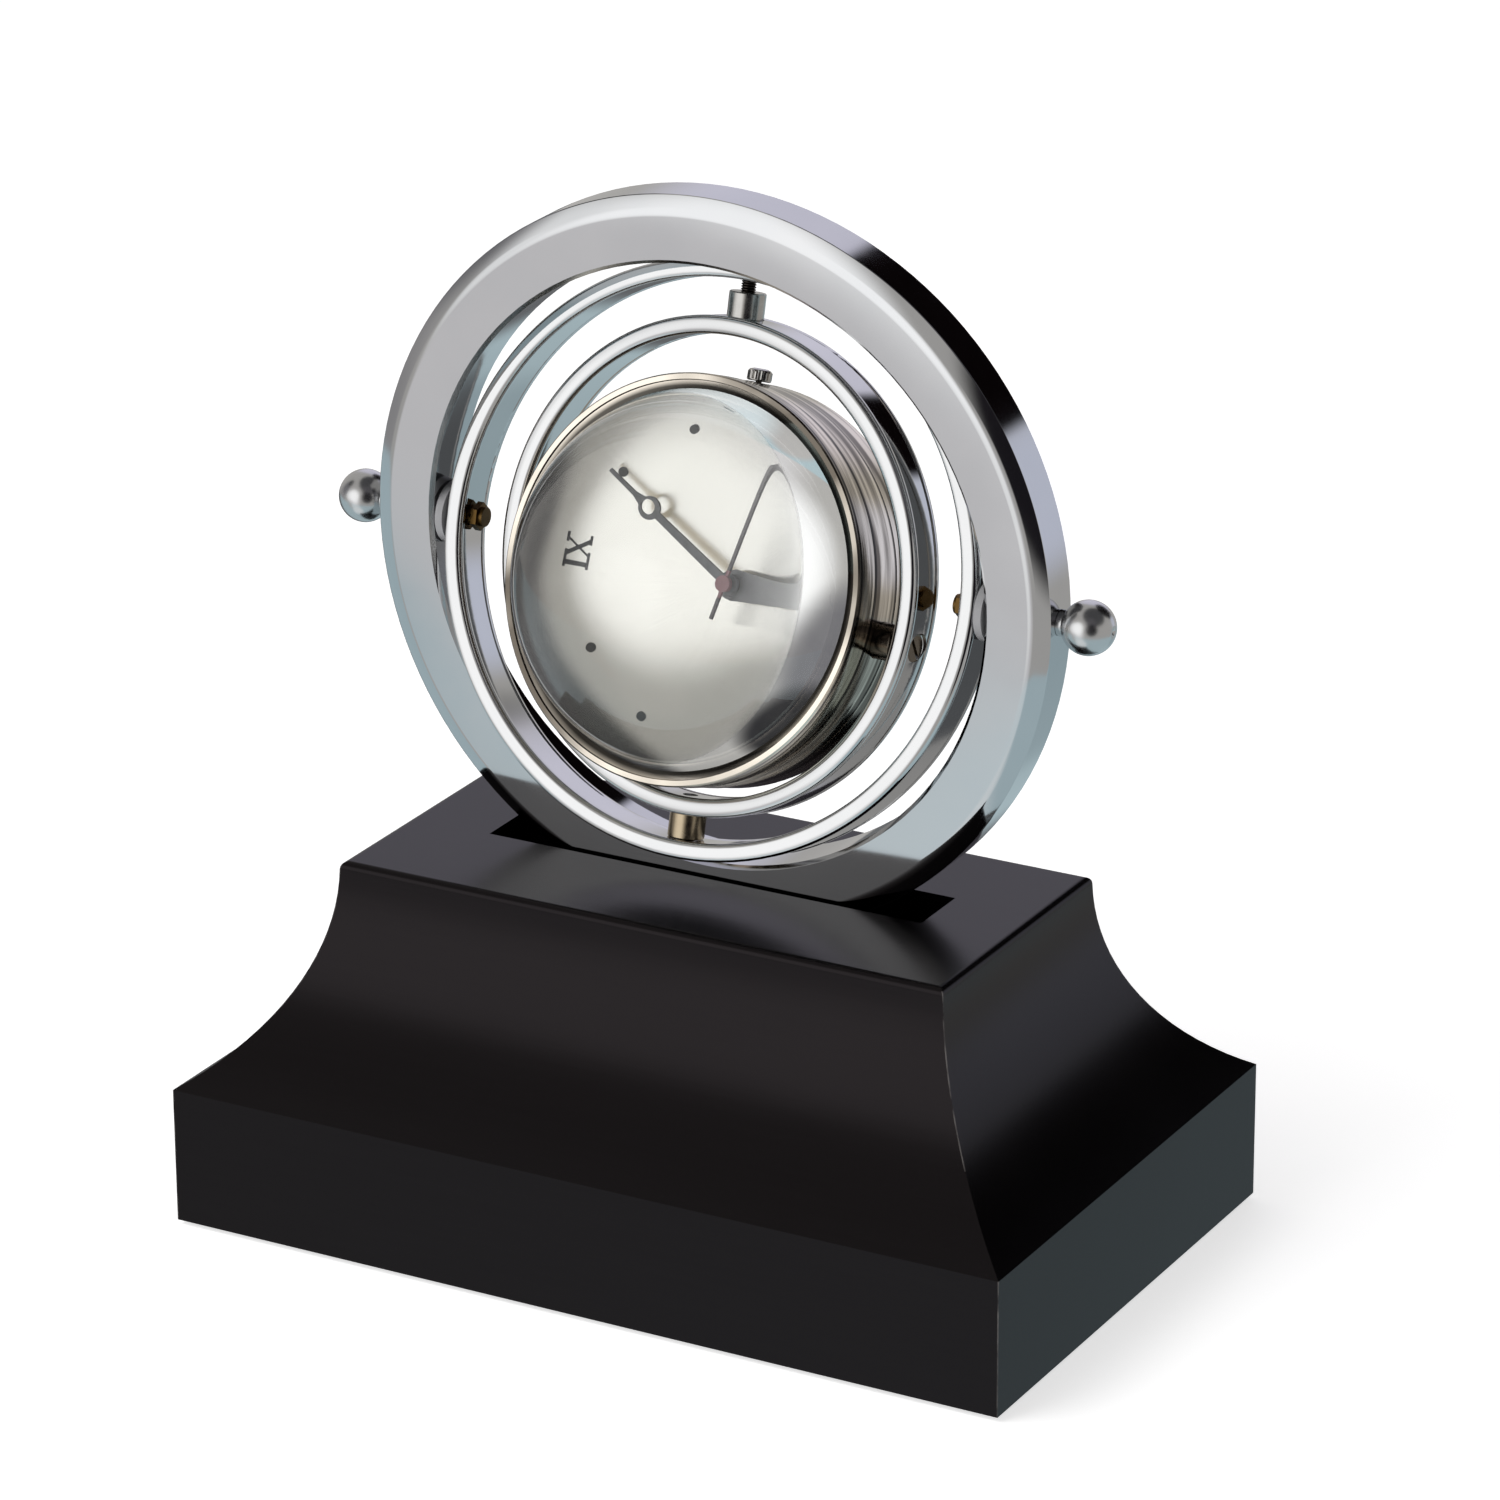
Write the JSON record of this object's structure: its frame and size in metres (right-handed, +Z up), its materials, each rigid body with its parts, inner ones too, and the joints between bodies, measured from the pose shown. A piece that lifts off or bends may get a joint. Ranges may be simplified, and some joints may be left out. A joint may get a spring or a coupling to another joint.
{
  "type": "desk clock",
  "caption": "Desk clock whose glass-domed dial tumbles inside nested gimbal rings on a coved black wooden base; the rings, clock, hands and setting crown all move.",
  "frame": {"origin": "middle of the felt under the base, on the desk", "axes": "+X to the right seen from the dial side, +Y to the back, +Z up"},
  "size_m": [0.185, 0.114, 0.2137],
  "materials": {
    "lacquered_wood": "black lacquer, satin",
    "felt": "felt",
    "chrome": "polished chrome plate",
    "steel": "plain",
    "knob_steel": "turned and plated",
    "nylon": "moulded nylon",
    "brass": "aged brass",
    "dark_steel": "oiled",
    "screw_steel": "turned",
    "spacer_steel": "turned",
    "spacer_warm": "turned, pale",
    "nickel": "nickel plate",
    "glass": "clear, polished",
    "gasket": "moulded",
    "dial_silver": "fine brushed",
    "ink": "printed",
    "white_plastic": "moulded",
    "movement_brass": "stamped",
    "copper": "enamelled wire",
    "hand_paint": "grey",
    "second_paint": "copper pink"
  },
  "bodies": {
    "stand": {"wood_base": "lacquered_wood", "felt_pad": "felt", "outer_ring": "chrome", "ring_screws": "steel", "ring_washers": "steel"},
    "middle": {"middle_ring": "chrome", "knob_left": "knob_steel", "knob_right": "knob_steel", "nylon_washer_left": "nylon", "nylon_washer_right": "nylon", "nut_left": "brass", "nut_right": "brass"},
    "inner": {"inner_ring": "chrome", "upper_pivot_screw": "dark_steel", "lower_pivot_screw": "dark_steel", "upper_spacer": "spacer_steel", "lower_spacer": "spacer_warm"},
    "clock": {"case_band": "nickel", "bezel": "nickel", "case_back": "nickel", "back_cover": "nickel", "glass_dome": "glass", "lens_gasket": "gasket", "dial": "dial_silver", "dial_print": "ink", "clock_screw_left": "screw_steel", "clock_screw_right": "screw_steel", "clock_spacer_left": "spacer_steel", "clock_spacer_right": "spacer_steel", "movement_holder": "white_plastic", "movement_plate": "movement_brass", "movement_bridge": "steel", "battery": "steel", "battery_strap": "movement_brass", "coil": "copper"},
    "hour": {"hour_hand": "hand_paint", "hour_pipe": "movement_brass"},
    "minute": {"minute_hand": "hand_paint", "minute_arbor": "movement_brass"},
    "second": {"second_hand": "second_paint", "second_arbor": "steel"},
    "setting": {"setting_slide": "steel"},
    "winder": {"stem": "steel", "crown": "nickel"}
  },
  "joints": [
    {"name": "middle_spin", "type": "hinge", "parent": "stand", "child": "middle", "pos_m": [0, 0.002, 0.139], "axis": [1, 0, 0], "continuous": true},
    {"name": "inner_spin", "type": "hinge", "parent": "middle", "child": "inner", "pos_m": [0, 0.002, 0.139], "axis": [0, 0.2453, 0.9694], "continuous": true},
    {"name": "clock_tumble", "type": "hinge", "parent": "inner", "child": "clock", "pos_m": [0, -0.00022, 0.13023], "axis": [0.9934, -0.1114, 0.0282], "range_deg": [-110, 12]},
    {"name": "second_spin", "type": "hinge", "parent": "clock", "child": "second", "pos_m": [0.00006, 0.00139, 0.13432], "axis": [0.0656, 0.9364, -0.3446], "continuous": true},
    {"name": "minute_spin", "type": "hinge", "parent": "clock", "child": "minute", "pos_m": [0.00006, 0.00139, 0.13432], "axis": [0.0656, 0.9364, -0.3446], "continuous": true},
    {"name": "hour_spin", "type": "hinge", "parent": "clock", "child": "hour", "pos_m": [0.00006, 0.00139, 0.13432], "axis": [0.0656, 0.9364, -0.3446], "continuous": true},
    {"name": "crown_pull", "type": "slide", "parent": "clock", "child": "setting", "axis": [0.012, 0.3446, 0.9387], "range_m": [0, 0.0012]},
    {"name": "crown_turn", "type": "hinge", "parent": "setting", "child": "winder", "pos_m": [0.00071, 0.01766, 0.17111], "axis": [0.012, 0.3446, 0.9387], "continuous": true}
  ],
  "couplings": [
    {"joint": "minute_spin", "follows": "second_spin", "ratio": 0.016667},
    {"joint": "hour_spin", "follows": "second_spin", "ratio": 0.0013889}
  ]
}
